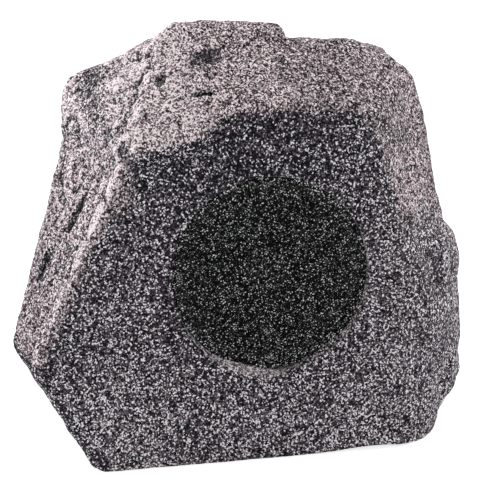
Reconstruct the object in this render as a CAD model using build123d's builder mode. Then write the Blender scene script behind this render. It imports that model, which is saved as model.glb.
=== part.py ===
from build123d import *
import os
from math import cos, radians, sin, tan

# A garden loudspeaker in a hollow moulded rock: millimetres, +Z up, the face looks along -Y, and the
# origin lies on the ground below the rock.

# Rock: every lump is a block with flat chips struck off it. A chip is given by its bearing (0 faces the
# front, positive turns to the right), its pitch above the horizon and its distance from the lump's middle.
wall = 6.0
edge_radius = 13.0
rim_height = 1.0

body_centre = (15, -3.5, 160)
body_chips = {
    "front": (0, 9, 138.5),
    "left_bevel": (-66, 27, 190.5),
    "left_under": (-84, -30, 228),
    "left_side": (-100, 15.5, 174),
    "left_shoulder": (-44, 48, 197),
    "left_top": (-130, 55, 177),
    "left_brow": (-22, 51, 184.5),
    "right_brow": (3, 62, 180.5),
    "right_corner": (42, 48, 196),
    "right_top": (85, 60, 201),
    "right_flank": (52, 17.5, 178),
    "right_side": (90, 9, 172),
    "right_shoulder": (92, 36, 200),
    "right_foot": (48.5, 0, 203),
    "right_under": (82, -9, 191),
    "top": (172, 68, 155.5),
    "back_top": (172, 45, 168),
    "back": (180, 0, 152),
    "back_left": (-142, 14, 147),
    "back_right": (138, 12, 141),
    "bed": (0, -90, 300),
}
cap_centre = (-25, -63.5, 300)
cap_chips = {
    "front": (-8, 50, 34),
    "under": (9, -40, 70.5),
    "under_right": (62, -36, 33),
    "left": (-80, 20, 80),
    "left_end": (-60, 44, 55),
    "left_back": (-128, 42, 66),
    "top": (20, 84, 60),
    "right": (15, 48, 31),
    "right_end": (100, 20, 87),
    "back": (178, 60, 63),
    "bed": (0, -90, 45),
}
shoulder_centre = (-112, -40, 270)
shoulder_chips = {
    "front": (-42, 46, 42),
    "front_left": (-64, 28, 30),
    "front_under": (-60, -30, 28),
    "left": (-102, 0, 38),
    "left_under": (-100, -38, 36),
    "top": (-130, 62, 50),
    "right_top": (80, 60, 55),
    "right": (90, 0, 40),
    "back": (-150, 10, 46),
    "bed": (0, -90, 60),
}
slab_centre = (135, -63.5, 90)
slab_chips = {
    "front": (20, 6, 71),
    "right_front": (58, 6, 69.5),
    "right": (92, -1, 66),
    "top": (58, 50, 96),
    "back": (125, 10, 59),
    "rear": (180, 0, 70),
    "left": (-90, 0, 35),
    "under": (72, -46, 93),
    "bed": (0, -90, 200),
}

# Gouges: hollows broken out of a chip's face. Each has its chip, its place across and up that face from the
# chip's foot, its turn on the face, and its length, width and depth.
body_gouges = {
    "left_long": ("left_bevel", 26, -41, 85, 42, 10, 3.5),
    "left_low": ("left_bevel", 7, -92, 85, 36, 9, 3.5),
    "left_upper": ("left_bevel", 4, -2, 80, 26, 10, 3.5),
    "left_rear": ("left_bevel", -20, -40, 88, 46, 11, 3.5),
}
cap_gouges = {
    "slot": ("front", -6, -24, 10, 23, 5, 4),
    "top_dent": ("front", -2, 13, 8, 36, 18, 2.5),
    "left_dent": ("front", -41, -10, 50, 16, 9, 2.5),
}
gouge_floor = 0.45
gouge_overlap = 1.0

# Loudspeaker: its axis lies over the middle of the front face and tilts up less than the face leans back.
driver_height = 159.5
driver_tilt = 5.0
grille_diameter = 169.0
grille_sheet = 1.2
grille_rise = 14.0
grille_border = 6.0
perforation_pitch = 14.0
perforation_width = 10.0
recess_clearance = 0.4
seat_thickness = 12.0

seal_thickness = 1.5
flange_gap = 1.8
flange_thickness = 2.0
seat_width = 8.0
driver_screw_count = 4
screw_diameter = 3.8
screw_head_diameter = 7.6
screw_head_height = 2.2
driver_screw_length = 12.0
hole_clearance = 0.1

basket_sheet = 1.5
basket_gap = 2.5
basket_wall_run = 17.5
basket_shelf_width = 10.0
basket_shelf_depth = 36.0
basket_depth = 50.0
basket_window_count = 6
basket_window_angle = 38.0
basket_window_margin = 4.5

surround_width = 13.5
surround_roll_height = 5.0
surround_sheet = 0.8
surround_lip = 3.3
surround_roll_slope = 3.5
cone_sheet = 0.9
cone_neck_depth = 26.0
cone_neck_thickness = 1.8
spider_sheet = 0.6
spider_wave = 2.0
spider_wave_count = 2
spider_land = 5.0
spider_gap = 0.4
former_bore = 25.4
former_wall = 0.35
former_length = 34.0
coil_wall = 0.6
coil_length = 10.0
coil_gap = 0.45
pole_gap = 0.5

plate_diameter = 80.0
top_plate_thickness = 6.0
magnet_diameter = 90.0
magnet_bore = 42.0
magnet_thickness = 15.0
back_plate_thickness = 6.0

tweeter_post_diameter = 10.0
tweeter_diameter = 36.0
tweeter_back_diameter = 24.0
tweeter_rim = 1.2
tweeter_depth = 11.0
tweeter_front = 8.0
tweeter_dome_diameter = 20.0
tweeter_dome_height = 3.0
tweeter_dome_flat = 10.0
tweeter_dome_sheet = 0.3
tweeter_dome_depth = 2.0
tag_strip_length = 24.0
tag_strip_width = 8.0
tag_strip_thickness = 1.6
tag_length = 7.0
tag_width = 3.0
tag_sheet = 0.8

# Base: a plate screwed up against a flange moulded inside the rock's rim, on a gasket.
base_recess = 3.0
base_thickness = 4.0
base_clearance = 1.2
base_corner_radius = 10.0
base_gasket_thickness = 1.5
base_gasket_gap = 1.5
base_flange_width = 18.0
base_flange_thickness = 5.0
base_screw_inset = 9.0
base_screw_length = 18.0
base_screw_span = 240.0
base_screw_pitch = 75.0
base_boss_diameter = 10.0
base_boss_height = 15.0
base_rib_height = 7.0
base_rib_thickness = 3.0
base_rib_spread = (62, 44)
foot_diameter = 24.0
foot_stem_diameter = 8.0
foot_head_diameter = 11.0
foot_head_height = 2.5
foot_chamfer = 1.0
foot_inset = 36.0

board_length = 100.0
board_width = 64.0
board_thickness = 1.6
board_lift = 12.0
board_place = (15, 6.5)
board_hole_inset = 5.0
standoff_diameter = 8.0
board_screw_diameter = 2.9
board_screw_head_diameter = 5.6
board_screw_head_height = 1.8
board_screw_length = 8.0
coil_core_diameter = 14.0
choke_diameter = 30.0
choke_height = 16.0
choke_flange = 1.5
choke_place = (-28, 10)
capacitor_diameter = 14.0
capacitor_length = 32.0
capacitor_flat = 0.7
capacitor_places = {"woofer": (12, 20), "tweeter": (12, -2)}
resistor_length = 22.0
resistor_width = 9.0
resistor_height = 9.0
resistor_chamfer = 1.0
resistor_place = (10, -21)
terminal_length = 20.0
terminal_width = 10.0
terminal_height = 11.0
terminal_place = (-26, -22)
terminal_way_diameter = 4.0
terminal_way_depth = 5.0
terminal_way_spacing = 9.0

# Cable gland in the back of the rock, just above the base.
gland_height = 40.0
gland_bore = 7.0
gland_tail_bore = 11.0
gland_barrel_diameter = 16.0
gland_collar_width = 22.0
gland_collar_thickness = 4.0
gland_washer_diameter = 21.0
gland_washer_thickness = 1.5
gland_barrel_front = 9.0
gland_barrel_back = 15.0
gland_wall_clearance = 0.3
gland_cap_width = 20.0
gland_cap_length = 15.0
gland_cap_bore = 9.0
gland_cap_wall = 2.5
gland_nut_width = 22.0
gland_nut_thickness = 5.0


def facing(bearing, pitch):
    """Outward direction of a chip, from its bearing and pitch in degrees."""
    turn, lift = radians(bearing), radians(pitch)
    return Vector(sin(turn) * cos(lift), -cos(turn) * cos(lift), sin(lift))


def lump(centre, chips, inset):
    """A block of rock with every chip struck off, drawn in on all sides by an inset."""
    block_size = 3 * max(reach for _, _, reach in chips.values())
    with BuildPart() as block:
        with Locations(centre):
            Box(block_size, block_size, block_size)
        for bearing, pitch, reach in chips.values():
            outward = facing(bearing, pitch)
            face_middle = Vector(centre) + outward * (reach - inset)
            split(bisect_by=Plane(face_middle, z_dir=outward), keep=Keep.BOTTOM)
    return block.part


def chip_face(centre, chip):
    """Plane of a chip's face with its origin at the chip's foot, its x level and its y up the face."""
    bearing, pitch, reach = chip
    outward = facing(bearing, pitch)
    level = (cos(radians(bearing)), sin(radians(bearing)), 0)
    return Plane(Vector(centre) + outward * reach, x_dir=level, z_dir=outward)


def run_together(lumps):
    """Lumps joined into one stone above the rim."""
    with BuildPart() as stone:
        for piece in lumps:
            add(piece)
        split(bisect_by=Plane.XY.offset(rim_height), keep=Keep.TOP)
    return stone.part


def worn(block):
    """A lump grown by the edge radius, so that its edges and corners come out round."""
    with BuildPart() as stone:
        add(block)
        offset(amount=edge_radius, kind=Kind.ARC)
    return stone.part


rock_lumps = (
    (body_centre, body_chips),
    (cap_centre, cap_chips),
    (shoulder_centre, shoulder_chips),
    (slab_centre, slab_chips),
)
rock_skin = run_together([worn(lump(centre, chips, edge_radius)) for centre, chips in rock_lumps])
rock_hollow = run_together([lump(centre, chips, wall) for centre, chips in rock_lumps])

# Places of the loudspeaker, measured along its axis from the seat moulded in the rock.
_, front_lean, front_reach = body_chips["front"]
face_depth = front_reach - sin(radians(front_lean)) * (driver_height - body_centre[2])
face_point = Vector(body_centre[0], body_centre[1] - face_depth / cos(radians(front_lean)), driver_height)
driver_out = facing(0, driver_tilt)
grille_set_back = grille_diameter / 2 * tan(radians(front_lean - driver_tilt))
seat_centre = face_point - driver_out * (grille_set_back + grille_rise)
seat = Plane(seat_centre, x_dir=(1, 0, 0), z_dir=driver_out)
seat_section = Plane(seat_centre, x_dir=(1, 0, 0), z_dir=Vector(1, 0, 0).cross(driver_out))
driver_axis = Axis(seat_centre, driver_out)
recess_radius = grille_diameter / 2 + recess_clearance
screw_radius = screw_diameter / 2
screw_hole_radius = screw_radius + hole_clearance

# Radii of the loudspeaker, each measured inward from the grille's cup.
flange_radius = grille_diameter / 2 - grille_sheet - flange_gap
screw_ring = flange_radius - seat_width / 2
cutout_radius = flange_radius - seat_width
mouth_radius = cutout_radius - basket_gap - basket_sheet
shelf_radius = mouth_radius - basket_wall_run
throat_radius = shelf_radius - basket_shelf_width

flange_back = seal_thickness
flange_front = flange_back + flange_thickness
shelf_level = flange_front - basket_shelf_depth
basket_back = flange_front - basket_depth
neck_level = flange_front - cone_neck_depth
former_radius = former_bore / 2 + former_wall
coil_radius = former_radius + coil_wall
top_plate_back = basket_back - top_plate_thickness
magnet_back = top_plate_back - magnet_thickness
yoke_back = magnet_back - back_plate_thickness

# Levels of the base, measured from the ground.
plate_bottom = rim_height + base_recess
plate_top = plate_bottom + base_thickness
flange_bottom = plate_top + base_gasket_thickness
board_bottom = plate_top + board_lift
board_top = board_bottom + board_thickness


def footprint(inset):
    """Outline of the rock's foot at the base plate, drawn in from the skin by an inset."""
    foot = lump(body_centre, body_chips, inset)
    with BuildPart() as foot_block:
        add(foot)
        split(bisect_by=Plane.XY.offset(plate_bottom), keep=Keep.TOP)
    return foot_block.faces().sort_by(Axis.Z)[0]


def base_screw_places():
    """Screws in the corners of the foot and halfway along its long sides, a pitch or more apart."""
    screw_line = footprint(wall + base_screw_inset)
    spots = list(screw_line.vertices())
    spots += [Vertex(side @ 0.5) for side in screw_line.edges() if side.length > base_screw_span]
    kept = []
    for spot in spots:
        if all((Vector(spot) - Vector(other)).length >= base_screw_pitch for other in kept):
            kept.append(spot)
    return [tuple(spot)[:2] for spot in kept]


base_screws_at = base_screw_places()
plate_outline = footprint(wall + base_clearance)
gasket_outline = footprint(wall + base_screw_inset + screw_head_diameter / 2 + base_gasket_gap)
opening_outline = footprint(wall + base_flange_width)
foot_line = footprint(wall + foot_inset)
rib_outline = footprint(wall + foot_inset + foot_head_diameter)
gland_at = Vector(body_centre[0], body_centre[1] + body_chips["back"][2], gland_height)
gland_wall = Plane(gland_at, x_dir=(1, 0, 0), z_dir=(0, 1, 0))

# Thick ring behind the front face that carries the loudspeaker.
with BuildPart() as seat_ring:
    with BuildSketch(seat.offset(-seat_thickness)):
        Circle(recess_radius + wall)
    extrude(amount=seat_thickness + grille_rise + 2 * grille_set_back + wall)
    add(rock_skin, mode=Mode.INTERSECT)

# Gouges, each a hollow that narrows from its mouth to its floor.
gouged_lumps = ((body_centre, body_chips, body_gouges), (cap_centre, cap_chips, cap_gouges))
with BuildPart() as gouges:
    for centre, chips, hollows in gouged_lumps:
        for chip, across, up, turn, length, width, depth in hollows.values():
            mouth = Plane(chip_face(centre, chips[chip]).location * Location((across, up, 0), (0, 0, turn)))
            flare = 1 + (1 - gouge_floor) * gouge_overlap / depth
            for level, share in ((gouge_overlap, flare), (-depth, gouge_floor)):
                end, side = share * length / 2, share * width / 2
                with BuildSketch(mouth.offset(level)):
                    Polygon(
                        (-end, 0),
                        (-end / 3, -side),
                        (end / 2, -side),
                        (end, 0),
                        (end / 3, side),
                        (-end / 2, side),
                        align=None,
                    )
            loft(ruled=True)

# Flange inside the rim that the base plate is screwed to.
with BuildPart() as base_flange:
    add(rock_skin)
    split(bisect_by=Plane.XY.offset(flange_bottom), keep=Keep.TOP)
    split(bisect_by=Plane.XY.offset(flange_bottom + base_flange_thickness), keep=Keep.BOTTOM)
    opening_depth = 2 * flange_bottom + base_flange_thickness
    extrude(opening_outline, amount=opening_depth, dir=(0, 0, 1), mode=Mode.SUBTRACT)

# Rock: one hollow moulding with the loudspeaker's recess and seat, the base flange and its screw bosses.
with BuildPart() as rock_shell:
    add(rock_skin)
    add(rock_hollow, mode=Mode.SUBTRACT)
    add(gouges.part, mode=Mode.SUBTRACT)
    add(seat_ring.part)
    add(base_flange.part)
    with BuildSketch(Plane.XY.offset(flange_bottom)):
        with Locations(*base_screws_at):
            Circle(base_boss_diameter / 2)
    extrude(amount=base_boss_height)
    with BuildSketch(Plane.XY.offset(flange_bottom)):
        with Locations(*base_screws_at):
            Circle(screw_hole_radius)
    extrude(amount=base_boss_height, mode=Mode.SUBTRACT)
    with BuildSketch(seat):
        Circle(recess_radius)
    extrude(amount=grille_rise + 2 * grille_set_back + wall, mode=Mode.SUBTRACT)
    with BuildSketch(seat):
        Circle(cutout_radius)
        with PolarLocations(screw_ring, driver_screw_count):
            Circle(screw_hole_radius)
    extrude(amount=-seat_thickness, mode=Mode.SUBTRACT)
    with BuildSketch(gland_wall):
        Circle(gland_barrel_diameter / 2 + gland_wall_clearance)
    extrude(amount=-2 * wall, mode=Mode.SUBTRACT)

# Grille: a pressed steel cup with staggered perforations, pushed into the recess.
perforated_radius = grille_diameter / 2 - grille_border - perforation_width / 2
row_pitch = perforation_pitch * cos(radians(30))
row_count = int(perforated_radius / row_pitch)
perforations = []
for row in range(-row_count, row_count + 1):
    shift = perforation_pitch / 2 * (row % 2)
    for step in range(-row_count - 1, row_count + 2):
        spot = Vector(step * perforation_pitch + shift, row * row_pitch)
        if spot.length <= perforated_radius:
            perforations.append(spot)
with BuildPart() as grille:
    with BuildSketch(seat):
        Circle(grille_diameter / 2)
    extrude(amount=grille_rise)
    with BuildSketch(seat):
        Circle(grille_diameter / 2 - grille_sheet)
    extrude(amount=grille_rise - grille_sheet, mode=Mode.SUBTRACT)
    with BuildSketch(seat):
        with Locations(*perforations):
            RegularPolygon(perforation_width / 2, 6, major_radius=False)
    extrude(amount=grille_rise, mode=Mode.SUBTRACT)

# Foam ring between the seat and the loudspeaker's flange.
with BuildPart() as driver_seal:
    with BuildSketch(seat):
        Circle(flange_radius)
        Circle(cutout_radius, mode=Mode.SUBTRACT)
        with PolarLocations(screw_ring, driver_screw_count):
            Circle(screw_hole_radius, mode=Mode.SUBTRACT)
    extrude(amount=seal_thickness)

# Basket: a pressed steel frame with a flange, a windowed cone wall, a shelf for the spider and a throat.
with BuildPart() as window:
    with BuildSketch(Plane.XZ):
        with BuildLine():
            Polyline(
                (shelf_radius + basket_window_margin, shelf_level + basket_window_margin),
                (mouth_radius + basket_window_margin, shelf_level + basket_window_margin),
                (mouth_radius + basket_window_margin, flange_back - basket_window_margin),
                (mouth_radius - basket_window_margin, flange_back - basket_window_margin),
                (shelf_radius, shelf_level + 2 * basket_window_margin),
                close=True,
            )
        make_face()
    revolve(axis=Axis.Z, revolution_arc=basket_window_angle)
with BuildPart() as basket:
    with BuildSketch(seat_section):
        with BuildLine():
            Polyline(
                (mouth_radius, flange_front),
                (flange_radius, flange_front),
                (flange_radius, flange_back),
                (mouth_radius + basket_sheet, flange_back),
                (shelf_radius + basket_sheet, shelf_level - basket_sheet),
                (throat_radius + basket_sheet, shelf_level - basket_sheet),
                (throat_radius + basket_sheet, basket_back),
                (magnet_bore / 2, basket_back),
                (magnet_bore / 2, basket_back + basket_sheet),
                (throat_radius, basket_back + basket_sheet),
                (throat_radius, shelf_level),
                (shelf_radius, shelf_level),
                close=True,
            )
        make_face()
    revolve(axis=driver_axis)
    with BuildSketch(seat.offset(flange_back)):
        with PolarLocations(screw_ring, driver_screw_count):
            Circle(screw_hole_radius)
    extrude(amount=flange_thickness, mode=Mode.SUBTRACT)
    with Locations(seat):
        with PolarLocations(0, basket_window_count):
            add(window.part, mode=Mode.SUBTRACT)

# Hexagon-head screws that hold the loudspeaker to the seat.
with BuildPart() as driver_screws:
    with BuildSketch(seat.offset(flange_front)):
        with PolarLocations(screw_ring, driver_screw_count):
            RegularPolygon(screw_head_diameter / 2, 6, major_radius=False)
    extrude(amount=screw_head_height)
    with BuildSketch(seat.offset(flange_front)):
        with PolarLocations(screw_ring, driver_screw_count):
            Circle(screw_radius)
    extrude(amount=-driver_screw_length)

# Surround: a rubber ring with one raised roll, from the basket's flange to the edge of the cone.
roll_outer = mouth_radius
roll_inner = mouth_radius - surround_width
lip_front = flange_front + surround_sheet
roll_front = flange_front + surround_roll_height
with BuildPart() as surround:
    with BuildSketch(seat_section):
        with BuildLine():
            Polyline(
                (roll_outer + surround_lip, flange_front),
                (roll_outer - surround_sheet, flange_front),
                (roll_outer - surround_roll_slope - surround_sheet / 2, roll_front - surround_sheet),
                (roll_inner + surround_roll_slope + surround_sheet / 2, roll_front - surround_sheet),
                (roll_inner + surround_sheet, flange_front),
                (roll_inner - surround_lip, flange_front),
                (roll_inner - surround_lip, lip_front),
                (roll_inner, lip_front),
                (roll_inner + surround_roll_slope, roll_front),
                (roll_outer - surround_roll_slope, roll_front),
                (roll_outer, lip_front),
                (roll_outer + surround_lip, lip_front),
                close=True,
            )
        make_face()
    revolve(axis=driver_axis)

# Cone: pressed polypropylene, straight from the neck round the former to a flat edge under the surround.
cone_edge = roll_inner - surround_lip
with BuildPart() as cone:
    with BuildSketch(seat_section):
        with BuildLine():
            Polyline(
                (roll_inner, flange_front),
                (cone_edge, flange_front),
                (former_radius, neck_level),
                (former_radius, neck_level - cone_neck_thickness),
                (cone_edge, flange_front - cone_sheet),
                (roll_inner, flange_front - cone_sheet),
                close=True,
            )
        make_face()
    revolve(axis=driver_axis)

# Former and voice coil that hang from the cone in the magnet's gap.
with BuildPart() as former:
    with BuildSketch(seat.offset(neck_level - former_length)):
        Circle(former_radius)
        Circle(former_bore / 2, mode=Mode.SUBTRACT)
    extrude(amount=former_length)
coil_middle = basket_back - top_plate_thickness / 2
with BuildPart() as voice_coil:
    with BuildSketch(seat.offset(coil_middle - coil_length / 2)):
        Circle(coil_radius)
        Circle(former_radius, mode=Mode.SUBTRACT)
    extrude(amount=coil_length)

# Spider: a corrugated cloth ring from the basket's shelf to the former.
wave_inner = former_radius + spider_gap
wave_span = (throat_radius - wave_inner) / (2 * spider_wave_count)
spider_line = [
    (wave_inner + step * wave_span, shelf_level - spider_wave * (step % 2))
    for step in range(2 * spider_wave_count + 1)
]
spider_line.append((throat_radius + spider_land, shelf_level))
with BuildPart() as spider:
    with BuildSketch(seat_section):
        with BuildLine():
            Polyline(*spider_line, *[(r, t + spider_sheet) for r, t in reversed(spider_line)], close=True)
        make_face()
    revolve(axis=driver_axis)

# Magnet system: a ferrite ring between a steel top plate and a steel yoke with its pole.
with BuildPart() as top_plate:
    with BuildSketch(seat.offset(top_plate_back)):
        Circle(plate_diameter / 2)
        Circle(coil_radius + coil_gap, mode=Mode.SUBTRACT)
    extrude(amount=top_plate_thickness)
with BuildPart() as magnet:
    with BuildSketch(seat.offset(magnet_back)):
        Circle(magnet_diameter / 2)
        Circle(magnet_bore / 2, mode=Mode.SUBTRACT)
    extrude(amount=magnet_thickness)
with BuildPart() as yoke:
    with BuildSketch(seat.offset(yoke_back)):
        Circle(plate_diameter / 2)
    extrude(amount=back_plate_thickness)
    with BuildSketch(seat.offset(magnet_back)):
        Circle(former_bore / 2 - pole_gap)
    extrude(amount=magnet_thickness + top_plate_thickness)

# Tweeter on a post from the pole, in front of the cone.
tweeter_back = tweeter_front - tweeter_depth
dome_level = tweeter_front - tweeter_dome_depth
with BuildPart() as tweeter_post:
    with BuildSketch(seat.offset(basket_back)):
        Circle(tweeter_post_diameter / 2)
    extrude(amount=tweeter_back - basket_back)
with BuildPart() as tweeter_body:
    with BuildSketch(seat_section):
        with BuildLine():
            Polyline(
                (0, tweeter_back),
                (tweeter_back_diameter / 2, tweeter_back),
                (tweeter_diameter / 2, tweeter_back + tweeter_depth / 2),
                (tweeter_diameter / 2, tweeter_front),
                (tweeter_diameter / 2 - tweeter_rim, tweeter_front),
                (tweeter_dome_diameter / 2 + tweeter_rim, dome_level),
                (0, dome_level),
                close=True,
            )
        make_face()
    revolve(axis=driver_axis)
dome_radius = tweeter_dome_diameter / 2
dome_front = dome_level + tweeter_dome_height
with BuildPart() as tweeter_dome:
    with BuildSketch(seat_section):
        with BuildLine():
            Polyline(
                (0, dome_front),
                (tweeter_dome_flat / 2, dome_front),
                (dome_radius, dome_level),
                (dome_radius - tweeter_dome_sheet, dome_level),
                (tweeter_dome_flat / 2 - tweeter_dome_sheet, dome_front - tweeter_dome_sheet),
                (0, dome_front - tweeter_dome_sheet),
                close=True,
            )
        make_face()
    revolve(axis=driver_axis)

# Terminal strip under the basket's shelf, with two solder tags.
strip_radius = (shelf_radius + throat_radius) / 2 + basket_sheet
strip_front = shelf_level - basket_sheet
strip_back = strip_front - tag_strip_thickness
tag_spacing = tag_strip_length / 2
with BuildPart() as terminal_strip:
    with BuildSketch(seat.offset(strip_back)):
        with Locations((0, -strip_radius)):
            Rectangle(tag_strip_length, tag_strip_width)
    extrude(amount=tag_strip_thickness)
with BuildPart() as solder_tags:
    with BuildSketch(seat.offset(strip_back - tag_length)):
        with Locations((-tag_spacing / 2, -strip_radius), (tag_spacing / 2, -strip_radius)):
            Rectangle(tag_width, tag_sheet)
    extrude(amount=tag_length)

# Base plate: flat, ribbed inside, with stand-offs for the crossover board.
board_middle = Vector(board_place)
board_holes = [
    board_middle + Vector(x * (board_length / 2 - board_hole_inset), y * (board_width / 2 - board_hole_inset))
    for x in (-1, 1)
    for y in (-1, 1)
]
foot_corners = {"front_left": (-1, -2), "front_right": (1, -2), "rear_left": (-1, 2), "rear_right": (1, 2)}
feet_at = {
    corner: tuple(max(foot_line.vertices(), key=lambda spot: x * spot.X + y * spot.Y))[:2]
    for corner, (x, y) in foot_corners.items()
}
rib_length = 2 * max(body_chips["back"][2], body_chips["left_under"][2])
with BuildPart() as base_ribs:
    with BuildSketch(Plane.XY.offset(plate_bottom)):
        for side in (-1, 1):
            with Locations(board_middle + Vector(side * base_rib_spread[0], 0)):
                Rectangle(base_rib_thickness, rib_length)
            with Locations(board_middle + Vector(0, side * base_rib_spread[1])):
                Rectangle(rib_length, base_rib_thickness)
    extrude(amount=base_thickness + base_rib_height)
    extrude(rib_outline, amount=base_thickness + base_rib_height, dir=(0, 0, 1), mode=Mode.INTERSECT)
with BuildPart() as base_plate:
    extrude(plate_outline, amount=base_thickness, dir=(0, 0, 1))
    fillet(base_plate.edges().filter_by(Axis.Z), base_corner_radius)
    add(base_ribs.part)
    with BuildSketch(Plane.XY.offset(plate_top)):
        with Locations(*board_holes):
            Circle(standoff_diameter / 2)
    extrude(amount=board_lift)
    with BuildSketch(Plane.XY.offset(board_bottom)):
        with Locations(*board_holes):
            Circle(board_screw_diameter / 2 + hole_clearance)
    extrude(amount=-board_screw_length, mode=Mode.SUBTRACT)
    with BuildSketch(Plane.XY.offset(plate_bottom)):
        with Locations(*base_screws_at):
            Circle(screw_hole_radius)
        with Locations(*feet_at.values()):
            Circle(foot_stem_diameter / 2 + hole_clearance)
    extrude(amount=base_thickness, mode=Mode.SUBTRACT)
with BuildPart() as base_gasket:
    extrude(gasket_outline, amount=base_thickness + base_gasket_thickness, dir=(0, 0, 1))
    extrude(opening_outline, amount=base_thickness + base_gasket_thickness, dir=(0, 0, 1), mode=Mode.SUBTRACT)
    split(bisect_by=Plane.XY.offset(plate_top), keep=Keep.TOP)
with BuildPart() as base_screws:
    with BuildSketch(Plane.XY.offset(plate_bottom)):
        with Locations(*base_screws_at):
            RegularPolygon(screw_head_diameter / 2, 6, major_radius=False)
    extrude(amount=-screw_head_height)
    with BuildSketch(Plane.XY.offset(plate_bottom)):
        with Locations(*base_screws_at):
            Circle(screw_radius)
    extrude(amount=base_screw_length)

# Push-in rubber feet: a pad below the plate, a stem through it and a head that snaps over it.
with BuildPart() as feet:
    with BuildSketch(Plane.XY):
        with Locations(*feet_at.values()):
            Circle(foot_diameter / 2)
    extrude(amount=plate_bottom)
    chamfer(feet.faces().group_by(Axis.Z)[0].edges(), foot_chamfer)
    with BuildSketch(Plane.XY.offset(plate_bottom)):
        with Locations(*feet_at.values()):
            Circle(foot_stem_diameter / 2)
    extrude(amount=base_thickness)
    with BuildSketch(Plane.XY.offset(plate_top)):
        with Locations(*feet_at.values()):
            Circle(foot_head_diameter / 2)
    extrude(amount=foot_head_height)

# Crossover: a board on the stand-offs with a choke, two capacitors, a resistor and a terminal block.
with BuildPart() as crossover_board:
    with BuildSketch(Plane.XY.offset(board_bottom)):
        with Locations(board_middle):
            Rectangle(board_length, board_width)
        with Locations(*board_holes):
            Circle(board_screw_diameter / 2 + hole_clearance, mode=Mode.SUBTRACT)
    extrude(amount=board_thickness)
with BuildPart() as board_screws:
    with BuildSketch(Plane.XY.offset(board_top)):
        with Locations(*board_holes):
            RegularPolygon(board_screw_head_diameter / 2, 6, major_radius=False)
    extrude(amount=board_screw_head_height)
    with BuildSketch(Plane.XY.offset(board_top)):
        with Locations(*board_holes):
            Circle(board_screw_diameter / 2)
    extrude(amount=-board_screw_length)
choke_at = board_middle + Vector(choke_place)
with BuildPart() as choke_bobbin:
    with BuildSketch(Plane.XY.offset(board_top)):
        with Locations(choke_at):
            Circle(choke_diameter / 2)
    extrude(amount=choke_flange)
    with BuildSketch(Plane.XY.offset(board_top)):
        with Locations(choke_at):
            Circle(coil_core_diameter / 2)
    extrude(amount=choke_height)
    with BuildSketch(Plane.XY.offset(board_top + choke_height - choke_flange)):
        with Locations(choke_at):
            Circle(choke_diameter / 2)
    extrude(amount=choke_flange)
with BuildPart() as choke_winding:
    with BuildSketch(Plane.XY.offset(board_top + choke_flange)):
        with Locations(choke_at):
            Circle(choke_diameter / 2 - choke_flange)
            Circle(coil_core_diameter / 2, mode=Mode.SUBTRACT)
    extrude(amount=choke_height - 2 * choke_flange)


def capacitor(place):
    """Axial capacitor lying on the board, flattened where it is glued down."""
    middle = board_middle + Vector(place)
    axis_level = board_top + capacitor_diameter / 2 - capacitor_flat
    with BuildPart() as can:
        with BuildSketch(Plane.YZ.offset(middle.X - capacitor_length / 2)):
            with Locations((middle.Y, axis_level)):
                Circle(capacitor_diameter / 2)
        extrude(amount=capacitor_length)
        split(bisect_by=Plane.XY.offset(board_top), keep=Keep.TOP)
    return can.part


with BuildPart() as resistor:
    with BuildSketch(Plane.XY.offset(board_top)):
        with Locations(board_middle + Vector(resistor_place)):
            Rectangle(resistor_length, resistor_width)
    extrude(amount=resistor_height)
    chamfer(resistor.edges().filter_by(Axis.X), resistor_chamfer)
terminal_at = board_middle + Vector(terminal_place)
terminal_ways = [terminal_at + Vector(side * terminal_way_spacing / 2, 0) for side in (-1, 1)]
terminal_top = board_top + terminal_height
with BuildPart() as terminal_block:
    with BuildSketch(Plane.XY.offset(board_top)):
        with Locations(terminal_at):
            Rectangle(terminal_length, terminal_width)
    extrude(amount=terminal_height)
    with BuildSketch(Plane.XY.offset(terminal_top)):
        with Locations(*terminal_ways):
            Circle(terminal_way_diameter / 2)
    extrude(amount=-terminal_way_depth, mode=Mode.SUBTRACT)

# Cable gland: body and washer outside the wall, lock nut inside, rubber seal under the cap.
collar_back = gland_washer_thickness
collar_front = collar_back + gland_collar_thickness
barrel_front = collar_front + gland_barrel_front
cap_front = collar_front + gland_cap_length
seal_front = cap_front - gland_cap_wall
barrel_radius = gland_barrel_diameter / 2
with BuildPart() as gland_washer:
    with BuildSketch(gland_wall):
        Circle(gland_washer_diameter / 2)
        Circle(barrel_radius + hole_clearance, mode=Mode.SUBTRACT)
    extrude(amount=gland_washer_thickness)
with BuildPart() as gland_body:
    with BuildSketch(gland_wall.offset(collar_back)):
        RegularPolygon(gland_collar_width / 2, 6, major_radius=False)
    extrude(amount=gland_collar_thickness)
    with BuildSketch(gland_wall.offset(collar_back - gland_barrel_back)):
        Circle(barrel_radius)
    extrude(amount=barrel_front - collar_back + gland_barrel_back)
    with BuildSketch(gland_wall.offset(collar_back - gland_barrel_back)):
        Circle(gland_tail_bore / 2)
    extrude(amount=gland_barrel_back, mode=Mode.SUBTRACT)
    with BuildSketch(gland_wall.offset(collar_back)):
        Circle(gland_bore / 2)
    extrude(amount=barrel_front - collar_back, mode=Mode.SUBTRACT)
with BuildPart() as gland_cap:
    with BuildSketch(gland_wall.offset(collar_front)):
        RegularPolygon(gland_cap_width / 2, 6, major_radius=False)
    extrude(amount=gland_cap_length)
    chamfer(gland_cap.faces().sort_by(Axis.Y)[-1].edges(), gland_cap_wall)
    with BuildSketch(gland_wall.offset(collar_front)):
        Circle(barrel_radius + hole_clearance)
    extrude(amount=gland_cap_length - gland_cap_wall, mode=Mode.SUBTRACT)
    with BuildSketch(gland_wall.offset(seal_front)):
        Circle(gland_cap_bore / 2)
    extrude(amount=gland_cap_wall, mode=Mode.SUBTRACT)
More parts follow.
